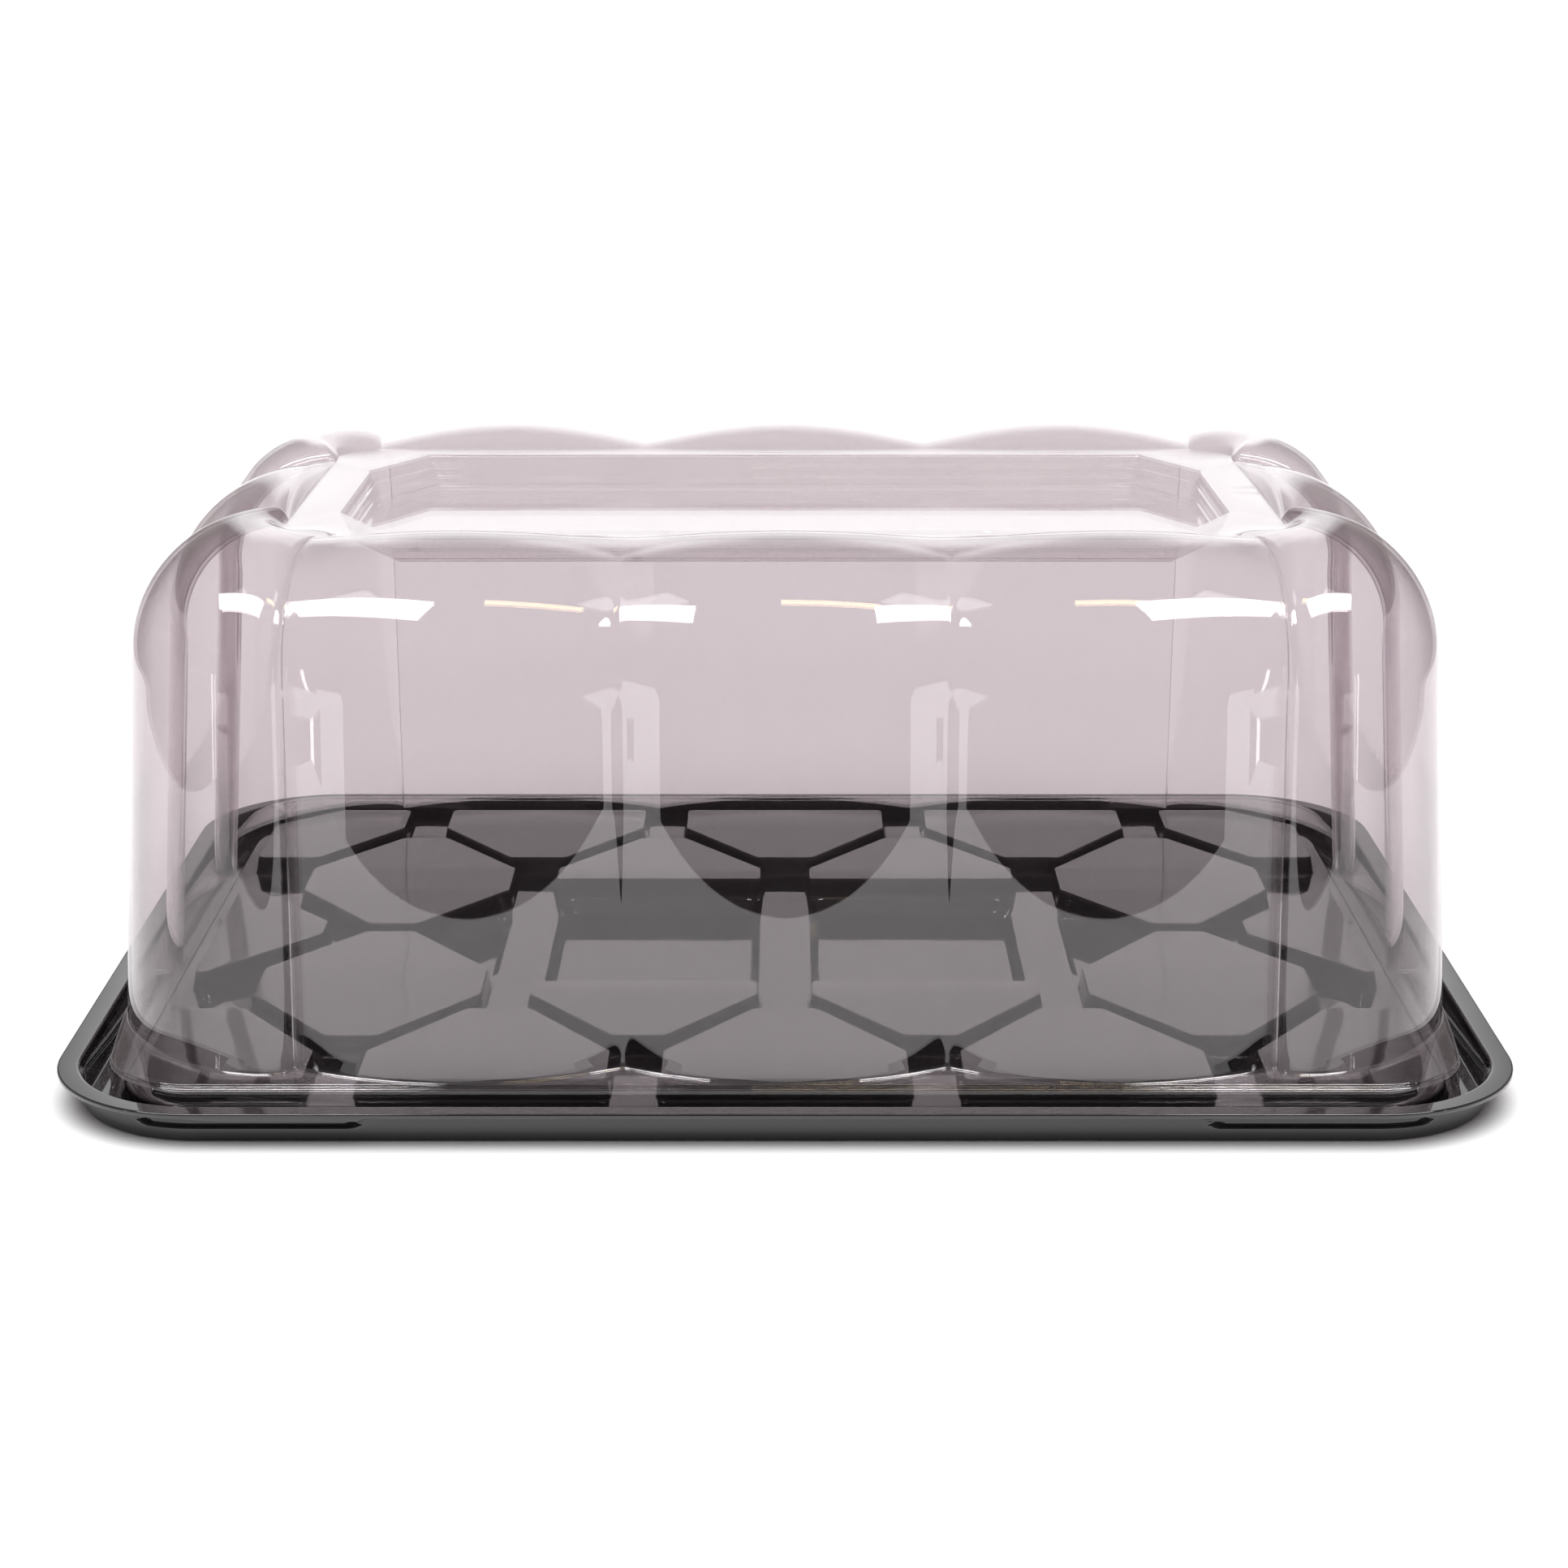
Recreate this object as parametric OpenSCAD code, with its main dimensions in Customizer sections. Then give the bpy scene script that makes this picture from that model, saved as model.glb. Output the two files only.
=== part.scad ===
// Domed tray: a shallow black base tray and a clear lobed dome that lifts straight off it.
// Units are millimetres, +Z is up. The origin is on the ground under the centre of the tray.

/* [Tray] */
// outside width of the tray flange
rim_w = 380; // [200:1:600]
// outside depth of the tray flange
rim_d = 286; // [150:1:500]
// outside corner radius of the flange
rim_r = 41; // [30:1:80]
// height of the flange above the ground
rim_h = 10; // [6:0.5:20]
// sheet thickness of the tray
tray_t = 0.7; // [0.4:0.1:1.5]
// height of the deck between the raised plateaus
deck_h = 5; // [3:0.5:8]
// height of the raised plateaus
plateau_h = 10.8; // [7:0.1:12]

/* [Dome] */
// height of the top of the dome's lobes
dome_h = 146; // [100:1:200]
// wall thickness of the dome
dome_t = 0.8; // [0.4:0.1:1.5]
// half width of the dome at its shelf edge
shelf_x = 181; // [150:0.5:181.5]
// half depth of the dome at its shelf edge
shelf_y = 130.2; // [110:0.1:131]
// height of the shelf that runs round the foot of the dome
shelf_h = 13; // [12:0.5:20]
// depth of the grooves between the lobes at the foot of the wall
lobe_sag = 11; // [5:0.5:25]
// radius of the shoulder between wall and top
shoulder_r = 37; // [20:1:45]
// height of the flat ring on top of the dome
ring_h = 141; // [95:1:195]
// depth of the recessed panel in the top
panel_drop = 8.5; // [3:0.5:15]

/* [Node to show] */
// all, or one node's name

/* [Hidden] */
$fn = 96;
eps = 0.01;

// ---- tray outline ----
lip_drop = 1.2;
flange_in = 5.6;
wall_in = 6.4;
foot_in = 7;
groove_in = 16.3;
deck_in = 19;
deck_half = [rim_w / 2 - deck_in + tray_t, rim_d / 2 - deck_in + tray_t];
edge_cut = 0.4;
tab_x0 = -140;
tab_len = 33;
tab_drop = 0.7;

// ---- tray floor pattern: four columns of plateaus, all mirrored front to back ----
col_x = [39, 115.6];
col_half = 32;
tip_half = 7.4;
tip_y = 90;
shoulder_y = 57.5;
hex_mid_y = 46.5;
v_back_y = 46;
fin_x = [0, 78];
fin_half = 32.6;
fin_tip_half = 9;
fin_tip_y = 68;
fin_shoulder_y = 100.5;
fin_out_y = 121.6;
end_in_x = 123.4;
end_knee_x = 147;
end_out_x = 167;
end_round_y = 104;
side_tip_x = 134.7;
side_tip_half = 6;
side_out_y = 44;
well_x0 = 7.5;
well_x1 = 68.5;
well_y = 45.2;
well_round = 4;
gem_x0 = 82.5;
gem_x1 = 104;
gem_y = 33;
gem_tip = 3;

// ---- snap bulges in the front and back walls of the tray ----
snap_len = 41;
snap_x = 127.5;
snap_z = 6.4;
snap_high = 4;
snap_deep = 0.9;

// ---- dome outline ----
side_bow = 8.5;
step_out = 1.3;
step_side = 0.4;
step_top = 0.2;
step_drop = 0.8;
skirt_flare = 2.2;
skirt_side = 0.4;
flange_x = 182.6;
flange_y = 135.6;
shelf_round = 22;
flange_round = 30;
wall_x = 180.5;
wall_y = 129.8;
wall_round = 57;
wall_draft = 6.5;
valley_x = [43.2, 133];
valley_y = 43.7;
side_sag = 10;
top_sag = 5.5;
ring_x = 133;
ring_y = 67;
ring_round = 16;
ring_knee = 122.7;
panel_x = 121.3;
panel_y = 57.6;
panel_knee_x = 106.6;
panel_knee_y = 31;
panel_draft = 1;
shoulder_z = dome_h - shoulder_r;
lobe_bulge = 0.3;
lobe_steps = 8;
corner_steps = 8;
arc_steps = 4;
top_steps = 2;

// ================= tray =================

// hexagon with blunt tips, t inside its full outline
function hexagon(t) = let (
  h = col_half - t,
  k = tip_half - t / 2,
  tip = tip_y - hex_mid_y - t,
  knee = shoulder_y - hex_mid_y)
  [[-k, -tip], [k, -tip], [h, -knee], [h, knee], [k, tip], [-k, tip], [-h, knee], [-h, -knee]];

// plateau with a blunt tip towards the front and a straight back edge
function vee(t) =
  [[-tip_half + t / 2, -tip_y + t], [tip_half - t / 2, -tip_y + t], [col_half - t, -shoulder_y],
   [col_half - t, -v_back_y - t], [-col_half + t, -v_back_y - t], [-col_half + t, -shoulder_y]];

// plateau at the front edge whose blunt tip points to the middle
function fin(t) =
  [[-fin_half + t, -fin_out_y + t], [fin_half - t, -fin_out_y + t], [fin_half - t, -fin_shoulder_y],
   [fin_tip_half - t / 2, -fin_tip_y - t], [-fin_tip_half + t / 2, -fin_tip_y - t],
   [-fin_half + t, -fin_shoulder_y]];

// plateau that fills the front right corner
function corner_fin(t) =
  [[end_in_x + t, -fin_out_y + t], [end_knee_x, -fin_out_y + t], [end_out_x - t, -end_round_y],
   [end_out_x - t, -fin_tip_y - t], [end_knee_x + t / 2, -fin_tip_y - t],
   [end_in_x + t, -fin_shoulder_y]];

// plateau at the right edge whose blunt tip points to the middle
function side_fin(t) =
  [[side_tip_x + t, -side_tip_half + t / 2], [end_out_x - t, -side_out_y + t],
   [end_out_x - t, side_out_y - t], [side_tip_x + t, side_tip_half - t / 2]];

// well between the hexagons at the right, t outside its full outline
function gem(t) =
  [[gem_x0 - t, -gem_y - t], [gem_x1 + t, -gem_tip], [gem_x1 + t, gem_tip], [gem_x0 - t, gem_y + t]];

module rounded(x0, x1, half_y, r) {
  translate([x0 + r, -half_y]) square([x1 - x0 - 2 * r, 2 * half_y]);
  translate([x0, -half_y + r]) square([x1 - x0, 2 * half_y - 2 * r]);
  for (x = [x0 + r, x1 - r], y = [-half_y + r, half_y - r]) translate([x, y]) circle(r = r);
}

module both_ends() {
  children();
  mirror([0, 1]) children();
}

module all_quarters() {
  both_ends() {
    children();
    mirror([1, 0]) children();
  }
}

// every raised plateau, drawn t inside its full outline
module plateau_plan(t) {
  all_quarters() {
    translate([col_x[0], 0]) polygon(vee(t));
    translate([col_x[1], -hex_mid_y]) polygon(hexagon(t));
    translate([fin_x[1], 0]) polygon(fin(t));
    polygon(corner_fin(t));
  }
  both_ends() polygon(fin(t));
  polygon(side_fin(t));
  mirror([1, 0]) polygon(side_fin(t));
}

// every sunken well, drawn t outside its full outline
module well_plan(t) {
  for (s = [0, 1]) mirror([s, 0]) {
    rounded(well_x0 - t, well_x1 + t, well_y + t, well_round + t);
    polygon(gem(t));
  }
}

// cross-section of the tray edge: x is the distance in from the outside of the flange
rim_profile = [
  [0, rim_h - lip_drop], [0, rim_h - edge_cut], [edge_cut, rim_h], [flange_in, rim_h],
  [wall_in, rim_h - 2 * edge_cut], [foot_in, tray_t], [groove_in, tray_t], [groove_in + tray_t, deck_h],
  [deck_in, deck_h], [deck_in, deck_h - tray_t], [groove_in + 2 * tray_t, deck_h - tray_t],
  [groove_in + tray_t, 0], [foot_in, 0], [foot_in - tray_t, tray_t], [wall_in - tray_t, rim_h - tray_t],
  [tray_t, rim_h - tray_t], [tray_t, rim_h - lip_drop]];

module rim_run(length, out) {
  translate([0, -out, 0]) rotate([90, 0, 90])
    linear_extrude(height = length, center = true) polygon(rim_profile);
}

module rim_ring() {
  for (a = [0, 180]) rotate([0, 0, a]) rim_run(rim_w - 2 * rim_r, rim_d / 2);
  for (a = [90, 270]) rotate([0, 0, a]) rim_run(rim_d - 2 * rim_r, rim_w / 2);
  corner = [rim_w / 2 - rim_r, rim_d / 2 - rim_r];
  for (q = [[1, 1, 0], [-1, 1, 90], [-1, -1, 180], [1, -1, 270]])
    translate([q.x * corner.x, q.y * corner.y, 0]) rotate([0, 0, q.z])
      rotate_extrude(angle = 90) polygon([for (p = rim_profile) [rim_r - p.x, p.y]]);
}

// long boat-shaped bulge that presses the wall in towards the dome's flange
module snap_bulge(shift, inset) {
  r = snap_high / 2 - inset;
  reach = snap_len / 2 - snap_high / 2;
  translate([0, wall_in - tray_t - rim_d / 2 + shift, snap_z]) rotate([-90, 0, 0])
    linear_extrude(height = tray_t + snap_deep) {
      square([2 * reach, 2 * r], center = true);
      for (x = [-reach, reach]) translate([x, 0]) circle(r = r);
    }
}

module snap_places() {
  for (a = [0, 180], x = [-snap_x, snap_x]) rotate([0, 0, a]) translate([x, 0, 0]) children();
}

// short stretch of the lip that hangs lower, as a finger hold for lifting the dome
module pull_tab() {
  translate([tab_x0, -rim_d / 2, rim_h - lip_drop - tab_drop]) cube([tab_len, tray_t, tab_drop + eps]);
}

module base_tray() {
  color([0.03, 0.03, 0.035]) {
    difference() {
      union() {
        rim_ring();
        translate([0, 0, deck_h - tray_t]) linear_extrude(height = tray_t)
          rounded(-deck_half.x, deck_half.x, deck_half.y, rim_r - deck_in + tray_t);
        translate([0, 0, deck_h - tray_t]) linear_extrude(height = plateau_h - deck_h + tray_t) plateau_plan(0);
        linear_extrude(height = deck_h) well_plan(tray_t);
        snap_places() snap_bulge(0, 0);
        pull_tab();
      }
      translate([0, 0, -1]) linear_extrude(height = plateau_h - tray_t + 1) plateau_plan(tray_t);
      translate([0, 0, tray_t]) linear_extrude(height = deck_h) well_plan(0);
      snap_places() snap_bulge(-tray_t, tray_t);
    }
  }
}

// ================= dome =================

// side walls bow out: x is full at the middle of the side and less towards the corners
function bowed(p) = [p.x * (1 - side_bow / shelf_x * pow(p.y / shelf_y, 2)), p.y];

// distance along a ray from a pivot to a rounded rectangle (half sizes h, corner radius r)
function ray(q, c, h, r) = let (
  m = [h.x - r, h.y - r] - q,
  k = m * c,
  s = sqrt(max(0, k * k - m * m + r * r)),
  a = (h.y - q.y) / max(c.y, 0.0001),
  b = (h.x - q.x) / max(c.x, 0.0001))
  q.x + a * c.x <= h.x - r ? a : q.y + b * c.y <= h.y - r ? b : k + s;

// a station round the dome, in the first quarter: [section, share]
// section 0 and 1 are the front lobes, 2 the corner lobe, 3 half of the side lobe
function front_x(u) = u[0] == 0 ? u[1] * valley_x[0] : valley_x[0] + u[1] * (valley_x[1] - valley_x[0]);

// point of a rounded-rectangle outline at a station
function outline(u, h, r, knee) =
  u[0] < 2 ? [front_x(u) * (1 + (knee / valley_x[1] - 1) * pow(front_x(u) / valley_x[1], 2)), h.y] :
  u[0] > 2 ? [h.x, (1 - u[1]) * valley_y] :
  let (q = [knee, valley_y], c = [sin(90 * u[1]), cos(90 * u[1])]) q + ray(q, c, h, r) * c;

// point of the eight-sided panel outline at a station
function panel(u) =
  u[0] < 2 ? [front_x(u) * panel_knee_x / valley_x[1], panel_y] :
  u[0] > 2 ? [panel_x, (1 - u[1]) * panel_knee_y] :
  [panel_knee_x, panel_y] + u[1] * [panel_x - panel_knee_x, panel_knee_y - panel_y];

// share of the groove depth at a station, 0 on the lobe's crest and 1 in the groove
// round lobes: the part of an ellipse where k runs from 0 at the crest to 1 in the groove
function round_dip(k) = (1 - sqrt(1 - lobe_bulge * k * k)) / (1 - sqrt(1 - lobe_bulge));
function groove(u) =
  u[0] == 0 ? round_dip(u[1]) :
  u[0] == 1 ? round_dip(2 * u[1] - 1) :
  u[0] == 2 ? 1 - pow(1 - pow(abs(2 * u[1] - 1), 3), 1 / 3) :
  round_dip(1 - u[1]);

// blend of the groove depth from front to side
function sag_at(u) = u[0] < 2 ? lobe_sag : u[0] > 2 ? side_sag : lobe_sag + (side_sag - lobe_sag) * u[1];

// one point of the lobed wall and top: e is [inset, share of the way in over the top, height,
// share of the groove depth, lean of the normal]
function lobed(u, e, t) = let (
  foot = bowed(outline(u, [wall_x - t, wall_y - t], wall_round, valley_x[1])),
  goal = outline(u, [ring_x, ring_y], ring_round, ring_knee),
  span = norm(goal - foot),
  sag = groove(u) * (e[3] * sag_at(u) + (1 - e[3]) * top_sag * (1 - e[1])),
  inset = e[0] + e[1] * (span - wall_draft - shoulder_r) + sag * cos(e[4]),
  p = foot + (goal - foot) * inset / span,
  z = e[2] - sag * sin(e[4]) - t)
  [p.x, p.y, e[1] > 0 ? max(z, ring_h - t) : z];

// the way up the wall, round the shoulder and in over the top
wall_path = [[0, 0, shelf_h, 1, 0], [wall_draft, 0, shoulder_z, 1, 0]];
arc_path = [for (i = [1:arc_steps]) let (a = 90 * i / arc_steps)
  [wall_draft + shoulder_r * (1 - cos(a)), 0, shoulder_z + shoulder_r * sin(a), 1 - i / arc_steps, a]];
top_path = [for (i = [1:top_steps]) let (k = i / top_steps)
  [wall_draft + shoulder_r, k, dome_h - (dome_h - ring_h) * k * k, 0, 90]];
dome_path = concat(wall_path, arc_path, top_path);

quarter = concat(
  [for (i = [0:lobe_steps / 2 - 1]) [0, 2 * i / lobe_steps]],
  [for (i = [0:lobe_steps - 1]) [1, i / lobe_steps]],
  [for (i = [0:corner_steps - 1]) [2, i / corner_steps]],
  [for (i = [0:lobe_steps / 2]) [3, 2 * i / lobe_steps]]);
last = len(quarter) - 1;

// full ring of stations: [station, sign of x, sign of y], anticlockwise seen from above
stations = concat(
  [for (i = [0:last - 1]) [quarter[i], 1, -1]],
  [for (i = [last:-1:1]) [quarter[i], 1, 1]],
  [for (i = [0:last - 1]) [quarter[i], -1, 1]],
  [for (i = [last:-1:1]) [quarter[i], -1, -1]]);
around = len(stations);

function flat_ring(h, r, z) = [for (s = stations) let (p = bowed(outline(s[0], h, r, valley_x[1])))
  [s[1] * p.x, s[2] * p.y, z]];
function panel_ring(inset, z) = [for (s = stations) let (p = panel(s[0]))
  [s[1] * p.x * (1 - inset / panel_x), s[2] * p.y * (1 - inset / panel_y), z]];
function lobe_ring(e, t) = [for (s = stations) let (p = lobed(s[0], e, t)) [s[1] * p.x, s[2] * p.y, p.z]];

dome_z0 = tray_t;
foot_h = [shelf_x + skirt_side, shelf_y + skirt_flare];
edge_h = [shelf_x + step_side, shelf_y + step_out];
shelf_half = [shelf_x, shelf_y];
wall_in_by = [dome_t, dome_t];

// rings of the outer skin, from the flange edge to the middle of the top panel
outer_rings = concat(
  [flat_ring([flange_x, flange_y], flange_round, dome_z0 + dome_t),
   flat_ring(foot_h, shelf_round, dome_z0 + dome_t),
   flat_ring(edge_h, shelf_round, shelf_h - step_drop),
   flat_ring(shelf_half + [0, step_top], shelf_round, shelf_h - step_drop),
   flat_ring(shelf_half, shelf_round, shelf_h)],
  [for (e = dome_path) lobe_ring(e, 0)],
  [panel_ring(0, ring_h), panel_ring(panel_draft, ring_h - panel_drop)]);

// the same rings on the inside of the wall
inner_rings = concat(
  [flat_ring([flange_x, flange_y], flange_round, dome_z0),
   flat_ring(foot_h - wall_in_by, shelf_round, dome_z0),
   flat_ring(edge_h - wall_in_by, shelf_round, shelf_h - step_drop - dome_t),
   flat_ring(shelf_half - wall_in_by + [0, step_top], shelf_round, shelf_h - step_drop - dome_t),
   flat_ring(shelf_half - wall_in_by, shelf_round, shelf_h - dome_t)],
  [for (e = dome_path) lobe_ring(e, dome_t)],
  [panel_ring(dome_t, ring_h - dome_t), panel_ring(panel_draft + dome_t, ring_h - panel_drop - dome_t)]);

rings = len(outer_rings);
function flat(lists) = [for (a = lists, b = a) b];

// quads between neighbouring rings, offset by the first point's index
function skin(base, flip) = [for (k = [0:rings - 2], i = [0:around - 1]) let (
  a = base + k * around + i, b = base + k * around + (i + 1) % around, c = b + around, d = a + around)
  flip ? [a, b, c, d] : [d, c, b, a]];

// triangles from the innermost ring of a skin to the point in its middle
function cap(ring, middle, flip) = [for (i = [0:around - 1]) let (a = ring + i, b = ring + (i + 1) % around)
  flip ? [a, b, middle] : [b, a, middle]];

module dome_lid() {
  second = rings * around;
  middle = 2 * second;
  panel_z = ring_h - panel_drop;
  edge = [for (i = [0:around - 1]) let (j = (i + 1) % around) [i, j, second + j, second + i]];
  color([0.86, 0.83, 0.85, 0.35])
    polyhedron(
      points = concat(flat(outer_rings), flat(inner_rings), [[0, 0, panel_z], [0, 0, panel_z - dome_t]]),
      faces = concat(
        cap(second - around, middle, false),
        skin(0, false),
        skin(second, true),
        cap(2 * second - around, middle + 1, true),
        edge),
      convexity = 8);
}

base_tray();
dome_lid();
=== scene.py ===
import math

import bpy
import numpy as np
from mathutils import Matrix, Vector
from mathutils.geometry import delaunay_2d_cdt


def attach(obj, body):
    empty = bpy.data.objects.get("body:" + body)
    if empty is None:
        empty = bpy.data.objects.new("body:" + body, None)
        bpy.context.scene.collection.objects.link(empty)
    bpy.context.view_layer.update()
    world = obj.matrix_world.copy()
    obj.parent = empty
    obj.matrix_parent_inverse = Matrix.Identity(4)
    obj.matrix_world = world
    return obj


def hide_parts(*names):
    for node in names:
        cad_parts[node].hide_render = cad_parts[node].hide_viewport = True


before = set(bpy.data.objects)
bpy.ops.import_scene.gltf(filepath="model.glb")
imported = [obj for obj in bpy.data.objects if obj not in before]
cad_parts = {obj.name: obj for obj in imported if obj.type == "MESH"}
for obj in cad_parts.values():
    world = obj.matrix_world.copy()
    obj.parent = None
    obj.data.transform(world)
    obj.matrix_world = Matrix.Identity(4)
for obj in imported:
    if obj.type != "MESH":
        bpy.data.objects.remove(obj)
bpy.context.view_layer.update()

# Shapes are worked out in millimetres, in the frame of the CAD model, and turned into metres last.
MM = 0.001

# ---- tray: the outline and floor pattern of the CAD model ----
RIM_W, RIM_D, RIM_R, RIM_H = 380.0, 286.0, 41.0, 10.0
TRAY_T = 0.7
DECK_H, PLATEAU_H = 5.0, 10.8
LIP_DROP, FLANGE_IN, WALL_IN, FOOT_IN, GROOVE_IN, DECK_IN = 1.2, 5.6, 6.4, 7.0, 16.3, 19.0
# how much further in the under face's foot lies than the sheet's thickness alone would put it
FOOT_SHIFT = 0.15
# how many points the rim has along its long side, its short side and each corner, plus one
LONG_STATIONS, SHORT_STATIONS, CORNER_STATIONS = 200, 70, 45
TAB_X0, TAB_X1, TAB_DROP, TAB_EASE = -140.0, -107.0, 0.7, 14.0
COL_X = (39.0, 115.6)
HEX_HALF, TIP_HALF, TIP_Y, SHOULDER_Y, HEX_MID_Y, VEE_BACK_Y = 32.0, 7.4, 90.0, 57.5, 46.5, 46.0
HEX_BACK_Y, HEX_TIP_BACK_Y = SHOULDER_Y - 2 * HEX_MID_Y, TIP_Y - 2 * HEX_MID_Y
FIN_X, FIN_HALF, FIN_TIP_HALF = 78.0, 32.6, 9.0
FIN_TIP_Y, FIN_SHOULDER_Y, FIN_OUT_Y = 68.0, 100.5, 121.6
END_IN_X, END_KNEE_X, END_OUT_X, END_ROUND_Y = 123.4, 147.0, 167.0, 104.0
SIDE_TIP_X, SIDE_TIP_HALF, SIDE_OUT_Y = 134.7, 6.0, 44.0
WELL_X0, WELL_X1, WELL_Y = 7.5, 68.5, 45.2
GEM_X0, GEM_X1, GEM_Y, GEM_TIP = 82.5, 104.0, 33.0, 3.0
SNAP_X0, SNAP_X1, SNAP_Z, SNAP_HIGH, SNAP_DEEP = 107.0, 166.0, 6.0, 4.4, 1.3
SNAP_TAPER, SNAP_EDGE, SNAP_BAND = 3.0, 0.7, 20.0
# heights of the wall's rings, close enough together to carry the snap recesses
WALL_HEIGHTS = np.linspace(RIM_H - 1.9, 2.6, 19)
# corner radii of the plateaus and wells, and the soft ends, straight part and shift of their side walls
PLATEAU_R, FIN_R, CORNER_R, WELL_R, GEM_R = 2.0, 2.5, 3.0, 5.0, 3.0
PLATEAU_RAMP, WELL_RAMP = (0.5, 0.5, 0.0), (0.7, 1.6, -1.2)

# ---- dome: the outline of the CAD model ----
DOME_H, DOME_T, DOME_Z0 = 146.0, 0.8, 0.7
SHELF_X, SHELF_Y, SHELF_H = 181.0, 130.2, 13.0
# depth of the grooves in the long sides, in the ends and over the top, how full the lobes are, and
# the round at the bottom of a groove as a share of half a lobe
LOBE_SAG, SIDE_SAG, TOP_SAG, LOBE_BULGE, GROOVE_ROUND = 11.0, 10.0, 5.5, 0.3, 0.02
SHOULDER_R, RING_H, PANEL_DROP = 37.0, 141.0, 8.5
SIDE_BOW, STEP_OUT, STEP_SIDE, STEP_TOP, STEP_DROP = 8.5, 1.3, 0.4, 0.2, 0.8
SKIRT_FLARE, SKIRT_SIDE = 2.2, 0.4
FLANGE_X, FLANGE_Y, FLANGE_ROUND, SHELF_ROUND = 182.6, 135.6, 30.0, 22.0
WALL_X, WALL_Y, WALL_ROUND, WALL_DRAFT = 180.5, 129.8, 57.0, 6.5
VALLEY_X, VALLEY_Y = (43.2, 133.0), 43.7
RING_X, RING_Y, RING_ROUND, RING_KNEE = 133.0, 67.0, 16.0, 122.7
PANEL_X, PANEL_Y, PANEL_KNEE_X, PANEL_KNEE_Y = 121.3, 57.6, 106.6, 31.0
SHOULDER_Z = DOME_H - SHOULDER_R
# rings at these shares of the way up the wall, round the shoulder and in over the crest
WALL_SHARES, SHOULDER_SHARES = np.linspace(0.04, 1, 16), np.linspace(0, 1, 25)[1:]
CREST_SHARES = np.linspace(0, 1, 17)[1:]
# stations in half the middle lobe, a front lobe, a corner lobe and half an end lobe
LOBE_STATIONS = (30, 60, 84, 30)


# ======================= mesh helpers =======================

# how far a ring's rounding may reach towards the next ring, as a share of the way
SOFT_LIMIT = 0.46


def soften(keys, n=5):
    """Dense rings from key rings of (ring, softness); each is rounded off over its softness."""
    out = []
    for i, (ring, soft) in enumerate(keys):
        if soft <= 0 or i in (0, len(keys) - 1):
            out.append(ring)
            continue
        before, after = keys[i - 1][0] - ring, keys[i + 1][0] - ring
        la = np.linalg.norm(before, axis=1, keepdims=True) + 1e-9
        lb = np.linalg.norm(after, axis=1, keepdims=True) + 1e-9
        pa = ring + before * np.minimum(soft / la, SOFT_LIMIT)
        pb = ring + after * np.minimum(soft / lb, SOFT_LIMIT)
        for t in np.linspace(0, 1, n):
            out.append((1 - t) ** 2 * pa + 2 * t * (1 - t) * ring + t * t * pb)
    return out


def strip(a, b, n):
    """Quads between two closed rings of n points that start at indices a and b."""
    i = np.arange(n)
    j = (i + 1) % n
    return np.stack([a + i, a + j, b + j, b + i], 1)


def make_object(name, verts, faces, normals=None):
    """A smooth-shaded object from points in millimetres, with its own vertex normals if given."""
    mesh = bpy.data.meshes.new(name)
    mesh.from_pydata((np.asarray(verts) * MM).tolist(), [], [list(map(int, f)) for f in faces])
    mesh.update()
    mesh.shade_smooth()
    if normals is not None:
        mesh.normals_split_custom_set_from_vertices(normals.tolist())
    obj = bpy.data.objects.new(name, mesh)
    bpy.context.scene.collection.objects.link(obj)
    return obj


# ======================= dome =======================

def dome_quarter():
    """Stations round a quarter of the dome, closer together near the grooves: section 0 and 1 are the
    front lobes, 2 the corner lobe, 3 half of the end lobe."""
    wave = lambda n: (1 - np.cos(np.pi * np.arange(n) / n)) / 2
    middle, lobe, corner, end = LOBE_STATIONS
    parts = [(0, np.sin(np.pi / 2 * np.arange(middle) / middle)), (1, wave(lobe)), (2, wave(corner)),
             (3, 1 - np.cos(np.pi / 2 * np.arange(end + 1) / end))]
    sec = np.concatenate([np.full(len(u), s) for s, u in parts])
    share = np.concatenate([u for _, u in parts])
    return sec, share


SEC, SHARE = dome_quarter()
LAST = len(SEC) - 1
ROUND_ORDER = np.concatenate([np.arange(0, LAST), np.arange(LAST, 0, -1)] * 2)
ROUND_SX = np.concatenate([np.ones(2 * LAST), -np.ones(2 * LAST)])
ROUND_SY = np.concatenate([-np.ones(LAST), np.ones(2 * LAST), -np.ones(LAST)])
AROUND = 4 * LAST


def full_round(x, y, z):
    """A ring of points from a quarter's x and y, mirrored into the four quarters."""
    x, y, z = (np.broadcast_to(np.asarray(v, float), SEC.shape)[ROUND_ORDER] for v in (x, y, z))
    return np.stack([x * ROUND_SX, y * ROUND_SY, z], 1)


def front_x():
    """x of the stations along the front, before the corner."""
    return np.where(SEC == 0, SHARE * VALLEY_X[0], VALLEY_X[0] + SHARE * (VALLEY_X[1] - VALLEY_X[0]))


def reach(qx, qy, cx, cy, hx, hy, r):
    """Distance along a ray from a pivot to a rounded rectangle."""
    mx, my = hx - r - qx, hy - r - qy
    k = mx * cx + my * cy
    s = np.sqrt(np.maximum(0, k * k - mx * mx - my * my + r * r))
    a = (hy - qy) / np.maximum(cy, 1e-4)
    b = (hx - qx) / np.maximum(cx, 1e-4)
    return np.where(qx + a * cx <= hx - r, a, np.where(qy + b * cy <= hy - r, b, k + s))


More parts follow.
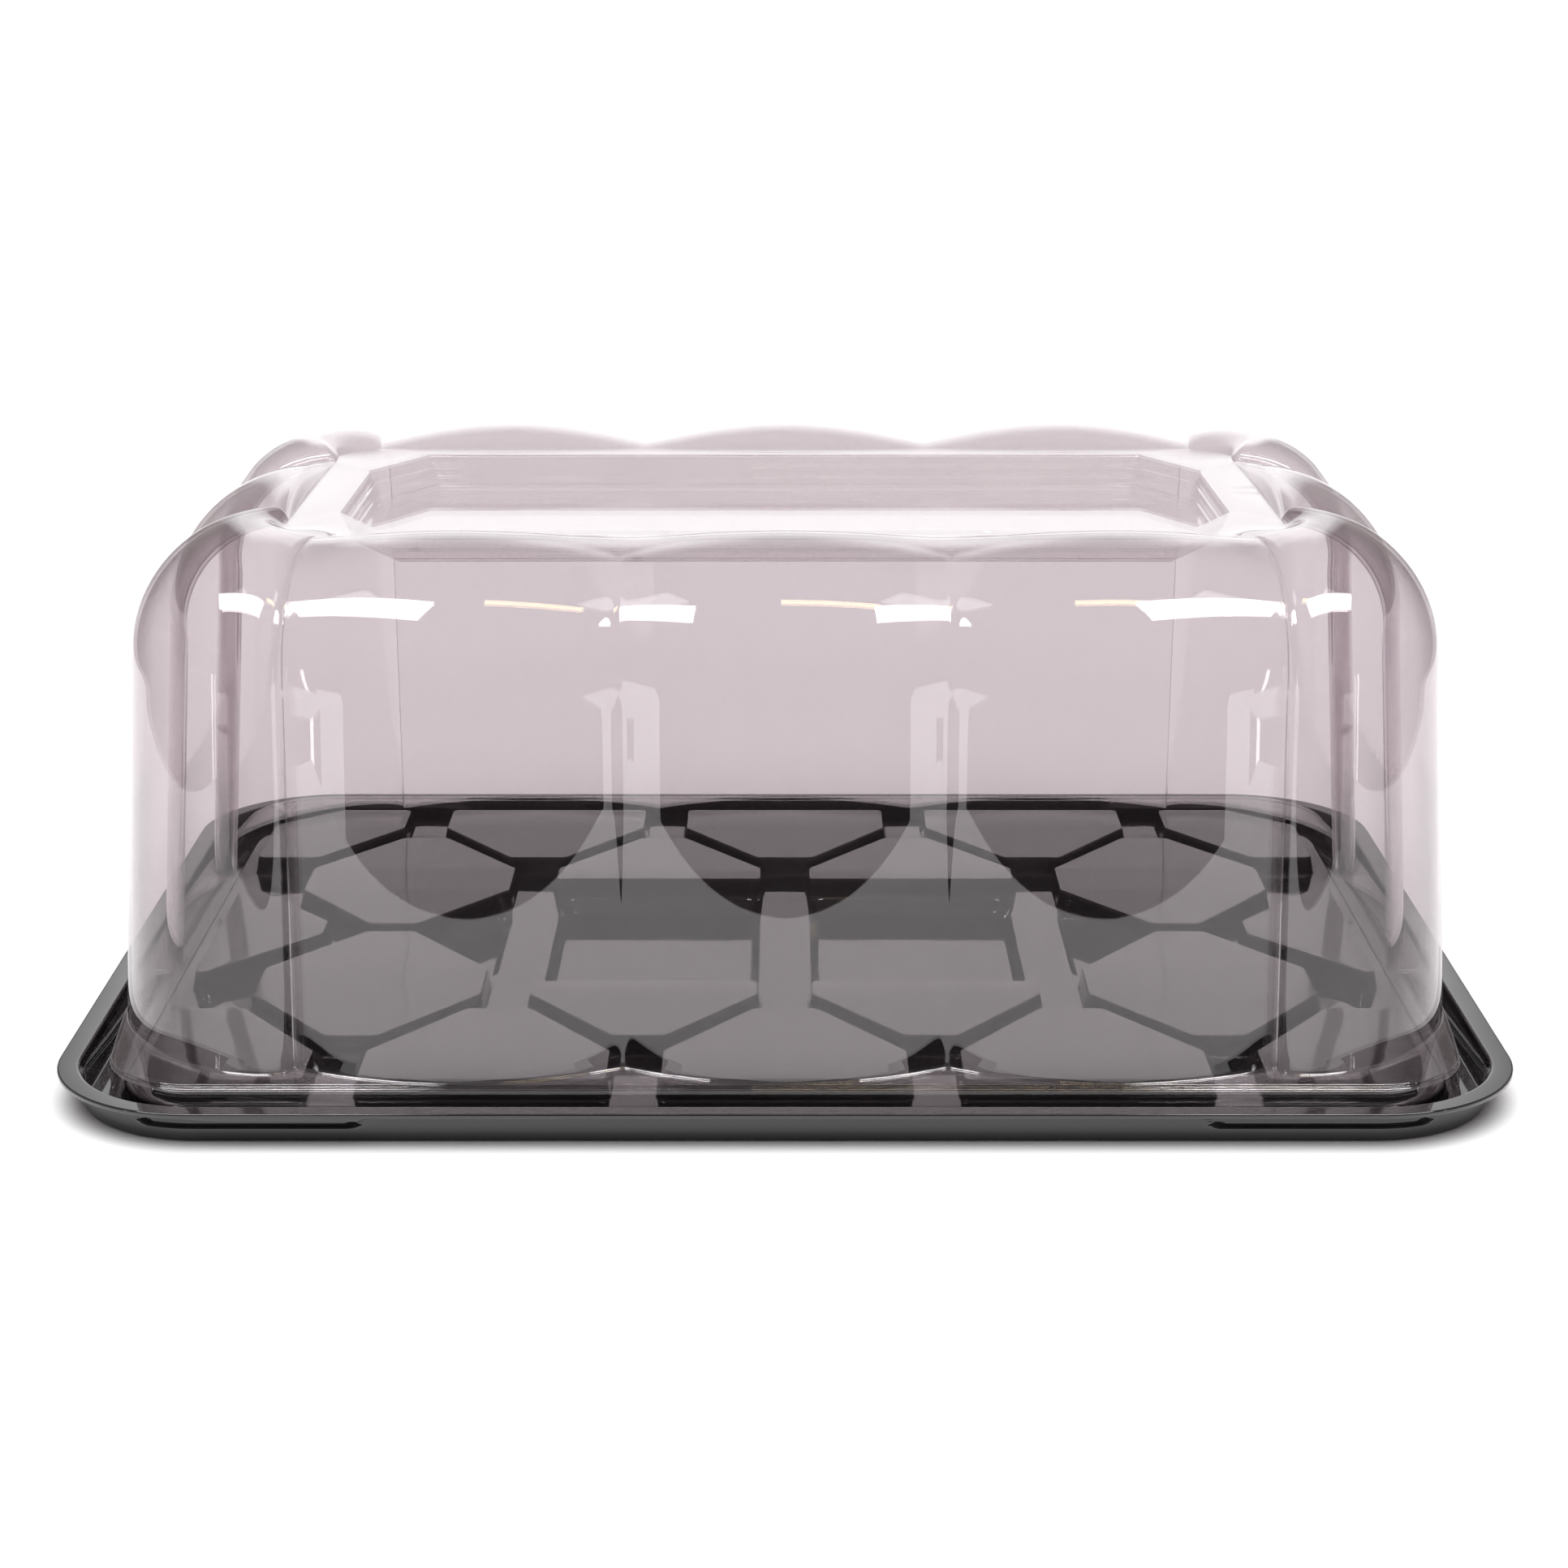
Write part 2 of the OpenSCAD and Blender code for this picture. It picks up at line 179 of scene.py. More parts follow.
def outline(hx, hy, r, knee):
    """A quarter of a rounded rectangle, hx by hy from the middle with corner radius r. The corner
    lobe's stations spread like rays from a pivot at x = knee."""
    fx = front_x()
    turn = np.radians(90 * SHARE)
    cx, cy = np.sin(turn), np.cos(turn)
    far = reach(knee, VALLEY_Y, cx, cy, hx, hy, r)
    x = np.where(SEC < 2, fx * (1 + (knee / VALLEY_X[1] - 1) * (fx / VALLEY_X[1]) ** 2),
                 np.where(SEC > 2, hx, knee + far * cx))
    y = np.where(SEC < 2, hy, np.where(SEC > 2, (1 - SHARE) * VALLEY_Y, VALLEY_Y + far * cy))
    return x, y


def bowed(x, y):
    """The outline with its ends bowed out, by drawing x in towards the corners."""
    return x * (1 - SIDE_BOW / SHELF_X * (y / SHELF_Y) ** 2), y


def round_dip(k):
    """Share of the groove's depth at share k of the way from a lobe's crest to the groove, whose very
    bottom is a small round instead of a sharp crease."""
    k = 1 + GROOVE_ROUND - np.hypot(1 - np.abs(k), GROOVE_ROUND)
    return (1 - np.sqrt(np.maximum(0, 1 - LOBE_BULGE * k * k))) / (1 - math.sqrt(1 - LOBE_BULGE))


def groove():
    """Share of the groove's depth at each station: 0 on a lobe's crest, 1 in a groove."""
    corner = 1 - np.maximum(0, 1 - np.abs(2 * SHARE - 1) ** 3) ** (1 / 3)
    return np.select([SEC == 0, SEC == 1, SEC == 2],
                     [round_dip(SHARE), round_dip(2 * SHARE - 1), corner], round_dip(1 - SHARE))


def sag_depth():
    """Full depth of the grooves at each station."""
    return np.select([SEC < 2, SEC > 2], [LOBE_SAG, SIDE_SAG], LOBE_SAG + (SIDE_SAG - LOBE_SAG) * SHARE)


def lobed(inset, over, height, depth, lean, t):
    """One ring of the lobed wall and top. over is the share of the way in over the top, depth the share
    of the groove's depth, lean the tilt of the surface normal in degrees."""
    fx, fy = bowed(*outline(WALL_X - t, WALL_Y - t, WALL_ROUND, VALLEY_X[1]))
    gx, gy = outline(RING_X, RING_Y, RING_ROUND, RING_KNEE)
    span = np.hypot(gx - fx, gy - fy)
    sag = groove() * (depth * sag_depth() + (1 - depth) * TOP_SAG * (1 - over))
    lean = math.radians(lean)
    move = (inset + over * (span - WALL_DRAFT - SHOULDER_R) + sag * math.cos(lean)) / span
    z = height - sag * math.sin(lean) - t
    if over > 0:
        z = np.maximum(z, RING_H - t)
    return full_round(fx + (gx - fx) * move, fy + (gy - fy) * move, z)


def flat_ring(hx, hy, r, z):
    """A level ring without lobes, for the flange, the skirt and the shelf."""
    return full_round(*bowed(*outline(hx, hy, r, VALLEY_X[1])), z)


def panel_ring(inset, z):
    """A level eight-sided ring of the top panel, inset from its edge."""
    fx = front_x()
    x = np.select([SEC < 2, SEC > 2], [fx * PANEL_KNEE_X / VALLEY_X[1], PANEL_X],
                  PANEL_KNEE_X + SHARE * (PANEL_X - PANEL_KNEE_X))
    y = np.select([SEC < 2, SEC > 2], [PANEL_Y, (1 - SHARE) * PANEL_KNEE_Y],
                  PANEL_Y + SHARE * (PANEL_KNEE_Y - PANEL_Y))
    return full_round(x * (1 - inset / PANEL_X), y * (1 - inset / PANEL_Y), z)


def dome_keys(t):
    """Key rings of the dome's skin, t inside its outer face, with how far each is rounded off."""
    edge_x, edge_y = SHELF_X + STEP_SIDE, SHELF_Y + STEP_OUT
    keys = [
        (flat_ring(FLANGE_X, FLANGE_Y, FLANGE_ROUND, DOME_Z0 + DOME_T - t), 0),
        (flat_ring(SHELF_X + SKIRT_SIDE - t, SHELF_Y + SKIRT_FLARE - t, SHELF_ROUND,
                   DOME_Z0 + DOME_T - t), 0.7),
        (flat_ring(edge_x - t, edge_y - t, SHELF_ROUND, SHELF_H - STEP_DROP - t), 0.5),
        (flat_ring(SHELF_X - t, SHELF_Y - t + STEP_TOP, SHELF_ROUND, SHELF_H - STEP_DROP - t), 0.3),
        (flat_ring(SHELF_X - t, SHELF_Y - t, SHELF_ROUND, SHELF_H - t), 0.3),
        (lobed(0, 0, SHELF_H, 1, 0, t), 0.9),
    ]
    for k in WALL_SHARES:
        keys.append((lobed(WALL_DRAFT * k, 0, SHELF_H + (SHOULDER_Z - SHELF_H) * k, 1, 0, t), 0))
    for k in SHOULDER_SHARES:
        a = 90 * k
        keys.append((lobed(WALL_DRAFT + SHOULDER_R * (1 - math.cos(math.radians(a))), 0,
                           SHOULDER_Z + SHOULDER_R * math.sin(math.radians(a)), 1 - k, a, t), 0))
    for k in CREST_SHARES:
        height = DOME_H - (DOME_H - RING_H) * k * k
        keys.append((lobed(WALL_DRAFT + SHOULDER_R, k, height, 0, 90, t), 0))
    for inset, z, soft in PANEL_STEPS:
        keys.append((panel_ring(inset + t * (z < RING_H), z - t), soft))
    return keys


# the stepped wall of the recessed top panel: inset, height, rounding
PANEL_FLOOR = RING_H - PANEL_DROP
PANEL_STEPS = (
    (-4.0, RING_H, 0), (0.0, RING_H, 0.7), (0.5, RING_H - 2.5, 0.3), (1.2, RING_H - 2.8, 0.3),
    (1.7, RING_H - 5.3, 0.3), (2.4, RING_H - 5.6, 0.3), (2.9, PANEL_FLOOR, 0.8), (6.0, PANEL_FLOOR, 0),
    (30.0, PANEL_FLOOR, 0))


def build_dome():
    """The outer and inner skins, joined at the flange's edge, each closed by a fan in the panel."""
    outer, inner = soften(dome_keys(0)), soften(dome_keys(DOME_T))
    n, rings = AROUND, len(outer)
    second = n * rings
    verts = np.concatenate(outer + inner + [[[0, 0, PANEL_FLOOR], [0, 0, PANEL_FLOOR - DOME_T]]])
    quads = [strip(k * n, (k + 1) * n, n) for k in range(rings - 1)]
    quads += [strip(second + k * n, second + (k + 1) * n, n)[:, ::-1] for k in range(rings - 1)]
    quads.append(strip(second, 0, n))
    i = np.arange(n)
    j = (i + 1) % n
    top, under = (rings - 1) * n, second + (rings - 1) * n
    middle = 2 * second
    caps = [np.stack([top + i, top + j, np.full(n, middle)], 1),
            np.stack([under + j, under + i, np.full(n, middle + 1)], 1)]
    faces = list(np.concatenate(quads)) + list(np.concatenate(caps))
    return make_object("dome", verts, faces)


# ======================= tray =======================

def rim_stations():
    """Points round the tray as (centre x, centre y, outward x, outward y): the outline inset by any
    amount lies at centre + outward * (radius - inset)."""
    cx, cy = RIM_W / 2 - RIM_R, RIM_D / 2 - RIM_R
    front, back = (np.radians(np.linspace(a, a + 90, CORNER_STATIONS)[:-1]) for a in (-90, 0))
    half = [(x, -cy, 0, -1) for x in np.linspace(-cx, cx, LONG_STATIONS)[:-1]]
    half += [(cx, -cy, math.cos(a), math.sin(a)) for a in front]
    half += [(cx, y, 1, 0) for y in np.linspace(-cy, cy, SHORT_STATIONS)[:-1]]
    half += [(cx, cy, math.cos(a), math.sin(a)) for a in back]
    return np.array(half + [(-x, -y, -u, -v) for x, y, u, v in half])


STATIONS = rim_stations()


def rim_ring(inset, z):
    """Ring round the tray at a distance in from the edge; inset and z may change along it."""
    inset = np.broadcast_to(np.asarray(inset, float), (len(STATIONS),))
    z = np.broadcast_to(np.asarray(z, float), (len(STATIONS),))
    return np.stack([STATIONS[:, 0] + STATIONS[:, 2] * (RIM_R - inset),
                     STATIONS[:, 1] + STATIONS[:, 3] * (RIM_R - inset), z], 1)


def smooth_step(lo, hi, v):
    """0 up to lo, 1 from hi, with a smooth change between."""
    k = np.clip((v - lo) / (hi - lo), 0, 1)
    return k * k * (3 - 2 * k)


def snap_depth(z):
    """How far the boat-shaped recesses press the wall in at height z, by station."""
    x, y = np.abs(rim_ring(0, 0)[:, 0]), np.abs(rim_ring(0, 0)[:, 1])
    mid, half = (SNAP_X0 + SNAP_X1) / 2, (SNAP_X1 - SNAP_X0) / 2
    along = np.clip((half - np.abs(x - mid)) / SNAP_TAPER, 0, 1)
    across = SNAP_HIGH / 2 * np.sqrt(along)
    depth = smooth_step(0, SNAP_EDGE, across - abs(z - SNAP_Z))
    return SNAP_DEEP * depth * (y > RIM_D / 2 - SNAP_BAND)


def tab_drop():
    """How much lower the lip's edge is along the pull tab, by station."""
    x, y = rim_ring(0, 0)[:, 0], rim_ring(0, 0)[:, 1]
    return TAB_DROP * smooth_step(TAB_X0 - TAB_EASE, TAB_X0, x) * (x < TAB_X1) * (y < 0)


def rim_keys(under):
    """Key rings from the lip's bottom edge to the deck, for the sheet's upper or under face."""
    t = TRAY_T
    tab = tab_drop()
    if under:
        keys = [(rim_ring(t, RIM_H - LIP_DROP - tab), 0), (rim_ring(t, RIM_H - t), 0.4),
                (rim_ring(WALL_IN - t, RIM_H - t), 0.5)]
        slope = lambda z: WALL_IN - t + (FOOT_IN - WALL_IN) * (RIM_H - t - z) / (RIM_H - t)
    else:
        keys = [(rim_ring(0, RIM_H - LIP_DROP - tab), 0), (rim_ring(0, RIM_H), 0.5),
                (rim_ring(FLANGE_IN, RIM_H), 0.7)]
        slope = lambda z: WALL_IN + (FOOT_IN - WALL_IN) * (RIM_H - t - z) / (RIM_H - t)
    for z in WALL_HEIGHTS:
        keys.append((rim_ring(slope(z) + snap_depth(z), z), 0))
    if under:
        keys += [(rim_ring(FOOT_IN - t + FOOT_SHIFT, 0), 1.2), (rim_ring(GROOVE_IN + t, 0), 0.8),
                 (rim_ring(GROOVE_IN + 2 * t, DECK_H - t), 0.5), (rim_ring(DECK_IN, DECK_H - t), 0)]
    else:
        keys += [(rim_ring(FOOT_IN, t), 0.9), (rim_ring(GROOVE_IN, t), 0.8),
                 (rim_ring(GROOVE_IN + t, DECK_H), 0.7), (rim_ring(DECK_IN, DECK_H), 0)]
    return keys


def mirrored(points, sx, sy):
    """The outline with x and y times sx and sy (each 1 or -1), still anticlockwise."""
    pts = [(sx * x, sy * y) for x, y in points]
    return pts if sx * sy > 0 else pts[::-1]


def floor_features():
    """Convex outlines of the plateaus and wells, anticlockwise: (points, corner radius, rise)."""
    hexagon = [(-TIP_HALF, -TIP_Y), (TIP_HALF, -TIP_Y), (HEX_HALF, -SHOULDER_Y),
               (HEX_HALF, HEX_BACK_Y), (TIP_HALF, HEX_TIP_BACK_Y), (-TIP_HALF, HEX_TIP_BACK_Y),
               (-HEX_HALF, HEX_BACK_Y), (-HEX_HALF, -SHOULDER_Y)]
    vee = [(-TIP_HALF, -TIP_Y), (TIP_HALF, -TIP_Y), (HEX_HALF, -SHOULDER_Y), (HEX_HALF, -VEE_BACK_Y),
           (-HEX_HALF, -VEE_BACK_Y), (-HEX_HALF, -SHOULDER_Y)]
    fin = [(-FIN_HALF, -FIN_OUT_Y), (FIN_HALF, -FIN_OUT_Y), (FIN_HALF, -FIN_SHOULDER_Y),
           (FIN_TIP_HALF, -FIN_TIP_Y), (-FIN_TIP_HALF, -FIN_TIP_Y), (-FIN_HALF, -FIN_SHOULDER_Y)]
    corner = [(END_IN_X, -FIN_OUT_Y), (END_KNEE_X, -FIN_OUT_Y), (END_OUT_X, -END_ROUND_Y),
              (END_OUT_X, -FIN_TIP_Y), (END_KNEE_X, -FIN_TIP_Y), (END_IN_X, -FIN_SHOULDER_Y)]
    side = [(SIDE_TIP_X, -SIDE_TIP_HALF), (END_OUT_X, -SIDE_OUT_Y), (END_OUT_X, SIDE_OUT_Y),
            (SIDE_TIP_X, SIDE_TIP_HALF)]
    well = [(WELL_X0, -WELL_Y), (WELL_X1, -WELL_Y), (WELL_X1, WELL_Y), (WELL_X0, WELL_Y)]
    gem = [(GEM_X0, -GEM_Y), (GEM_X1, -GEM_TIP), (GEM_X1, GEM_TIP), (GEM_X0, GEM_Y)]
    rise, sink = PLATEAU_H - DECK_H, TRAY_T - DECK_H
    out = []
    for sy in (1, -1):
        for sx in (1, -1):
            out.append((mirrored([(x + COL_X[0], y) for x, y in vee], sx, sy), PLATEAU_R, rise))
            out.append((mirrored([(x + COL_X[1], y) for x, y in hexagon], sx, sy), PLATEAU_R, rise))
            out.append((mirrored([(x + FIN_X, y) for x, y in fin], sx, sy), FIN_R, rise))
            out.append((mirrored(corner, sx, sy), CORNER_R, rise))
        out.append((mirrored(fin, 1, sy), FIN_R, rise))
    for sx in (1, -1):
        out.append((mirrored(side, sx, 1), FIN_R, rise))
        out.append((mirrored(well, sx, 1), WELL_R, sink))
        out.append((mirrored(gem, sx, 1), GEM_R, sink))
    return out


class Feature:
    """A plateau or well: a convex outline with rounded corners and a ramp round it."""

    def __init__(self, points, radius, rise):
        p = np.array(points, float)
        e = np.roll(p, -1, 0) - p
        length = np.linalg.norm(e, axis=1)
        self.normal = np.stack([e[:, 1], -e[:, 0]], 1) / length[:, None]
        offset = (self.normal * p).sum(1) - radius
        before, n_before = np.roll(offset, 1), np.roll(self.normal, 1, 0)
        det = n_before[:, 0] * self.normal[:, 1] - n_before[:, 1] * self.normal[:, 0]
        self.core = np.stack([(before * self.normal[:, 1] - offset * n_before[:, 1]) / det,
                              (n_before[:, 0] * offset - self.normal[:, 0] * before) / det], 1)
        self.n_before, self.radius, self.rise = n_before, radius, rise
        self.soft, self.wall, self.shift = PLATEAU_RAMP if rise > 0 else WELL_RAMP

    def ramp(self, d):
        """Share of the rise at a distance d outside the outline."""
        a, b = self.soft, self.wall
        d = d - self.shift
        m = 1 / (a + b)
        x = np.clip(d, -(a + b / 2), a + b / 2) + a + b / 2
        drop = np.where(x < a, m * x * x / (2 * a),
                        np.where(x < a + b, m * (x - a / 2), 1 - m * (2 * a + b - x) ** 2 / (2 * a)))
        return 1 - drop

    def distance(self, q):
        """Distance of the points q outside the outline, negative inside it."""
        c, d = self.core, np.full(len(q), 1e9)
        inside = np.ones(len(q), bool)
        for i in range(len(c)):
            a, b = c[i], c[(i + 1) % len(c)]
            ab = b - a
            k = np.clip(((q - a) @ ab) / (ab @ ab), 0, 1)
            d = np.minimum(d, np.linalg.norm(q - a - k[:, None] * ab, axis=1))
            inside &= (q - a) @ self.normal[i] < 0
        return np.where(inside, -d, d) - self.radius

    def loop(self, out, steps=6):
        """Closed curve at a distance out from the outline."""
        pts = []
        for c, n0, n1 in zip(self.core, self.n_before, self.normal):
            a0 = math.atan2(n0[1], n0[0])
            turn = (math.atan2(n1[1], n1[0]) - a0) % (2 * math.pi)
            for k in range(steps + 1):
                a = a0 + turn * k / steps
                pts.append(c + (self.radius + out) * np.array([math.cos(a), math.sin(a)]))
        return pts

    def offsets(self):
        """Distances out from the outline where the ramp needs a loop of points."""
        a, b = self.soft, self.wall
        edge = [-(a + b / 2) + a * k / 3 for k in range(4)] + [b / 2 + a * k / 3 for k in range(4)]
        return [self.shift + e for e in edge]


def floor_height(features, q):
    """Height of the tray's floor at the points q."""
    z = np.full(len(q), DECK_H)
    for f in features:
        z = z + f.rise * f.ramp(f.distance(q))
    return z


def floor_normals(features, q):
    """Normals of the tray's floor at the points q, from its slope."""
    h = 0.02  # step of the slope measurement
    dx, dy = np.array([h, 0]), np.array([0, h])
    gx = (floor_height(features, q + dx) - floor_height(features, q - dx)) / (2 * h)
    gy = (floor_height(features, q + dy) - floor_height(features, q - dy)) / (2 * h)
    n = np.stack([-gx, -gy, np.ones(len(q))], 1)
    return n / np.linalg.norm(n, axis=1, keepdims=True)


def pave_floor(features, border):
    """The floor inside the border ring: its points, its triangles, and which points are the ring's."""
    n = len(border)
    points, edges = [tuple(p) for p in border], [(i, (i + 1) % n) for i in range(n)]
    for f in features:
        for out in f.offsets():
            loop = f.loop(out)
            start = len(points)
            points += [tuple(p) for p in loop]
            edges += [(start + i, start + (i + 1) % len(loop)) for i in range(len(loop))]
    flat, _, tris, origin, _, _ = delaunay_2d_cdt(
        [Vector(p) for p in points], edges, [list(range(n))], 1, 1e-5)
    home = {new: old for new, olds in enumerate(origin) for old in olds if old < n}
    return np.array([tuple(v) for v in flat]), tris, home


def build_tray():
    """The upper and under faces of the sheet, joined at the lip: rings for the rim, then the floor."""
    features = [Feature(*f) for f in floor_features()]
    upper, lower = soften(rim_keys(False)), soften(rim_keys(True))
    n = len(STATIONS)
    flat, tris, home = pave_floor(features, upper[-1][:, :2])
    z = floor_height(features, flat)
    normals = floor_normals(features, flat)
    rim_top, rim_under = np.concatenate(upper), np.concatenate(lower)
    rows_u, rows_l = len(upper), len(lower)
    base_l = len(rim_top)
    base_f = base_l + len(rim_under)
    inner = [i for i in range(len(flat)) if i not in home]
    slot_of = {v: k for k, v in enumerate(inner)}
    top_xyz = np.column_stack([flat, z])[inner]
    low_xyz = top_xyz - normals[inner] * TRAY_T
    low_xyz[:, 2] = np.maximum(low_xyz[:, 2], 0)
    verts = np.concatenate([rim_top, rim_under, top_xyz, low_xyz])
    last_u, last_l, low_f = (rows_u - 1) * n, base_l + (rows_l - 1) * n, base_f + len(inner)
    top_id = [last_u + home[i] if i in home else base_f + slot_of[i] for i in range(len(flat))]
    low_id = [last_l + home[i] if i in home else low_f + slot_of[i] for i in range(len(flat))]
    quads = [strip(k * n, (k + 1) * n, n) for k in range(rows_u - 1)]
    quads += [strip(base_l + k * n, base_l + (k + 1) * n, n)[:, ::-1] for k in range(rows_l - 1)]
    quads.append(strip(base_l, 0, n))
    faces = list(np.concatenate(quads))
    faces += [[top_id[i] for i in t] for t in tris] + [[low_id[i] for i in t][::-1] for t in tris]
    mesh_normals = mean_normals(verts, faces)
    mesh_normals[base_f:low_f] = normals[inner]
    mesh_normals[last_u:last_u + n] = (0, 0, 1)
    mesh_normals[last_l:last_l + n] = (0, 0, -1)
    return make_object("tray", verts, faces, mesh_normals)


def mean_normals(verts, faces):
    """Area-weighted vertex normals."""
    total = np.zeros_like(verts)
    for size in (3, 4):
        f = np.array([x for x in faces if len(x) == size], int)
        cross = np.cross(verts[f[:, 2]] - verts[f[:, 0]], verts[f[:, -1]] - verts[f[:, 1]])
        for k in range(size):
            np.add.at(total, f[:, k], cross)
    return total / np.maximum(np.linalg.norm(total, axis=1, keepdims=True), 1e-9)


# ======================= materials =======================

# colours of the plastics: black in the flat and lighter on sharp convex edges, clear in the flat and a
# darker painted shade on folds, and haze
BLACK, EDGE_BLACK = (0.0035, 0.0035, 0.004, 1), (0.03, 0.03, 0.032, 1)
CLEAR, CLEAR_FOLD_PAINTED_SHADE, HAZE = (0.863, 0.837, 0.847, 1), (0.80, 0.77, 0.785, 1), (0.8, 0.75, 0.78, 1)
TRAY_IOR = 1.75
# share of light that the dome reflects head on, in the flat and on folds, and what a steep slant adds
FLAT_GLOSS, FOLD_GLOSS, SLANT_GLOSS = 0.05, 0.3, 0.9


def new_material(name):
    mat = bpy.data.materials.new(name)
    mat.use_nodes = True
    mat.node_tree.nodes.clear()
    return mat, mat.node_tree


def add(tree, kind, inputs=(), **props):
    """A shader node; inputs maps a socket name or index to a value or to another node's output."""
    node = tree.nodes.new(kind)
    for key, value in props.items():
        setattr(node, key, value)
    for key, value in dict(inputs).items():
        if isinstance(value, bpy.types.NodeSocket):
            tree.links.new(value, node.inputs[key])
        else:
            node.inputs[key].default_value = value
    return node


def noise(tree, scale, detail=2.0, rough=0.5, stretch=(1, 1, 1)):
    """Noise over the object's own coordinates, in cycles a metre; stretch scales each axis."""
    place = add(tree, "ShaderNodeTexCoord")
    mapped = add(tree, "ShaderNodeMapping", {"Vector": place.outputs["Object"], "Scale": stretch})
    tex = add(tree, "ShaderNodeTexNoise",
              {"Vector": mapped.outputs[0], "Scale": scale, "Detail": detail, "Roughness": rough})
    return tex.outputs["Fac"]


def remap(tree, value, lo, hi, to_lo, to_hi):
    """The value from lo to hi, mapped to to_lo to to_hi and held at the ends."""
    node = add(tree, "ShaderNodeMapRange", {"Value": value, "From Min": lo, "From Max": hi,
                                            "To Min": to_lo, "To Max": to_hi})
    return node.outputs[0]


def mix_color(tree, share, first, second):
    """The first colour turning into the second by share."""
    node = add(tree, "ShaderNodeMix", {"Factor": share, 6: first, 7: second}, data_type="RGBA")
    return node.outputs[2]


def tray_material():
    """Glossy black sheet: deep black, faint mottling, a softer, lighter black on sharp convex edges,
    slightly wavy.
    """
    mat, tree = new_material("tray_black")
    mottle = noise(tree, scale=45, detail=4)
    edge = add(tree, "ShaderNodeNewGeometry").outputs["Pointiness"]
    # a lighter black on sharp convex edges, from the pointiness
    edge_lighter = remap(tree, edge, 0.5, 0.62, 0.0, 1.0)
    base = mix_color(tree, edge_lighter, BLACK, EDGE_BLACK)
    rough = remap(tree, mottle, 0.3, 0.7, 0.035, 0.075)
    waves = noise(tree, scale=28)
    grain = noise(tree, scale=900)
    height = add(tree, "ShaderNodeMath", {0: grain, 1: 0.012, 2: waves}, operation="MULTIPLY_ADD")
    bump = add(tree, "ShaderNodeBump",
               {"Height": height.outputs[0], "Strength": 0.12, "Distance": 0.0012})
    shader = add(tree, "ShaderNodeBsdfPrincipled",
                 {"Base Color": base, "Roughness": rough, "IOR": TRAY_IOR, "Normal": bump.outputs[0]})
    add(tree, "ShaderNodeOutputMaterial", {"Surface": shader.outputs[0]})
    return mat


def dome_material():
    """Clear thin sheet: light goes straight through with a slight tint, and each face reflects as clear
    plastic does. Folds are glossier and are painted a darker tint as shade, and the sheet is slightly
    wavy and faintly smudged."""
    mat, tree = new_material("dome_clear")
    waves = noise(tree, scale=16, rough=0.4, stretch=(1, 1, 0.45))
    fine = noise(tree, scale=120, detail=3)
    height = add(tree, "ShaderNodeMath", {0: fine, 1: 0.03, 2: waves}, operation="MULTIPLY_ADD")
    bump = add(tree, "ShaderNodeBump",
               {"Height": height.outputs[0], "Strength": 0.08, "Distance": 0.001})
    slant = add(tree, "ShaderNodeLayerWeight", {"Blend": 0.5, "Normal": bump.outputs[0]})
    steep = add(tree, "ShaderNodeMath", {0: slant.outputs["Facing"], 1: 5.0}, operation="POWER")
    bend = add(tree, "ShaderNodeNewGeometry").outputs["Pointiness"]
    off = add(tree, "ShaderNodeMath", {0: bend, 1: 0.5}, operation="SUBTRACT")
    sharp = add(tree, "ShaderNodeMath", {0: off.outputs[0]}, operation="ABSOLUTE")
    # fold mask from the pointiness: it paints a darker tint on the folds as painted shade, and raises
    # their gloss
    fold_shade_and_gloss = remap(tree, sharp.outputs[0], 0.012, 0.06, 0.0, 1.0)
    base_share = remap(tree, fold_shade_and_gloss, 0, 1, FLAT_GLOSS, FOLD_GLOSS)
    gloss_share = add(tree, "ShaderNodeMath", {0: steep.outputs[0], 1: SLANT_GLOSS, 2: base_share},
                      operation="MULTIPLY_ADD")
    # painted shade: the folds get a darker clear tint where creases look dark
    tint = mix_color(tree, fold_shade_and_gloss, CLEAR, CLEAR_FOLD_PAINTED_SHADE)
    clear = add(tree, "ShaderNodeBsdfTransparent", {"Color": tint})
    smudge = noise(tree, scale=22, detail=5, rough=0.6)
    rough = remap(tree, smudge, 0.35, 0.75, 0.004, 0.018)
    gloss = add(tree, "ShaderNodeBsdfGlossy",
                {"Color": (1, 1, 1, 1), "Roughness": rough, "Normal": bump.outputs[0]})
    haze = add(tree, "ShaderNodeBsdfDiffuse", {"Color": HAZE})
    dust = remap(tree, smudge, 0.45, 0.8, 0.002, 0.008)
    body = add(tree, "ShaderNodeMixShader", {0: dust, 1: clear.outputs[0], 2: haze.outputs[0]})
    mix = add(tree, "ShaderNodeMixShader",
              {0: gloss_share.outputs[0], 1: body.outputs[0], 2: gloss.outputs[0]})
    add(tree, "ShaderNodeOutputMaterial", {"Surface": mix.outputs[0]})
    return mat


def floor_material():
    """White table, very faintly uneven."""
    mat, tree = new_material("studio_floor")
    tone = remap(tree, noise(tree, scale=3), 0.3, 0.7, 0.93, 0.95)
    color = add(tree, "ShaderNodeCombineColor", {0: tone, 1: tone, 2: tone})
    shader = add(tree, "ShaderNodeBsdfDiffuse", {"Color": color.outputs[0]})
    add(tree, "ShaderNodeOutputMaterial", {"Surface": shader.outputs[0]})
    return mat


# ======================= stage =======================

CAMERA_AT = (-0.000275, -0.851627, 0.299909)
CAMERA_PITCH = math.radians(90) - 0.280413
CAMERA_LENS, SENSOR = 70.071, 36.0

# the lights face the middle of the dome's front; the backdrop is what the camera sees, and the room
# and the table, with its reach, are what the plastic mirrors
DOME_FRONT = (0, -0.12, 0.1)
BACKDROP, ROOM_SIDE = (1.2, 1.2, 1.2, 1), (0.3, 0.27, 0.27, 1)
TABLE_FRONT, TABLE_BACK, TABLE_HALF = -0.42, 3.0, 0.6


